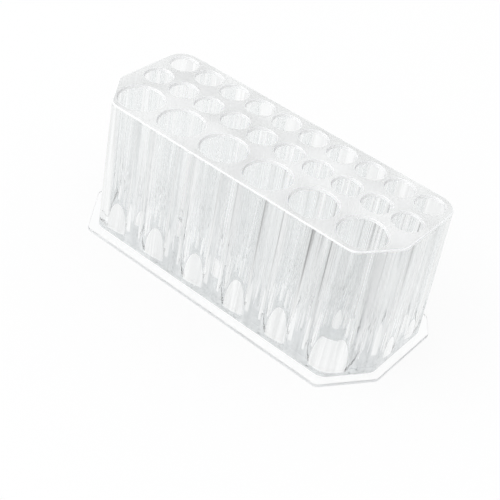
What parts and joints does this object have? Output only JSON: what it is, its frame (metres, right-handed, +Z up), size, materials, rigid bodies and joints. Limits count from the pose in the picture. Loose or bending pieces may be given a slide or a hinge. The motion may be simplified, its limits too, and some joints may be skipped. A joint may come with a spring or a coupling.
{
  "type": "vanity organizer",
  "caption": "Clear free-standing vanity organizer: a thick transparent block with rows of small and large round wells for brushes, pencils and lipsticks, bonded to a thin base plate.",
  "frame": {"origin": "middle of the base plate's underside", "axes": "+X along the rows of wells, +Y towards the back, where the small wells are, +Z up"},
  "size_m": [0.1484, 0.0654, 0.0605],
  "materials": {
    "clear_block": "polished, water-clear moulded plastic",
    "clear_plate": "polished, water-clear plastic sheet"
  },
  "bodies": {
    "root": {"holder_block": "clear_block", "base_plate": "clear_plate"}
  },
  "joints": []
}
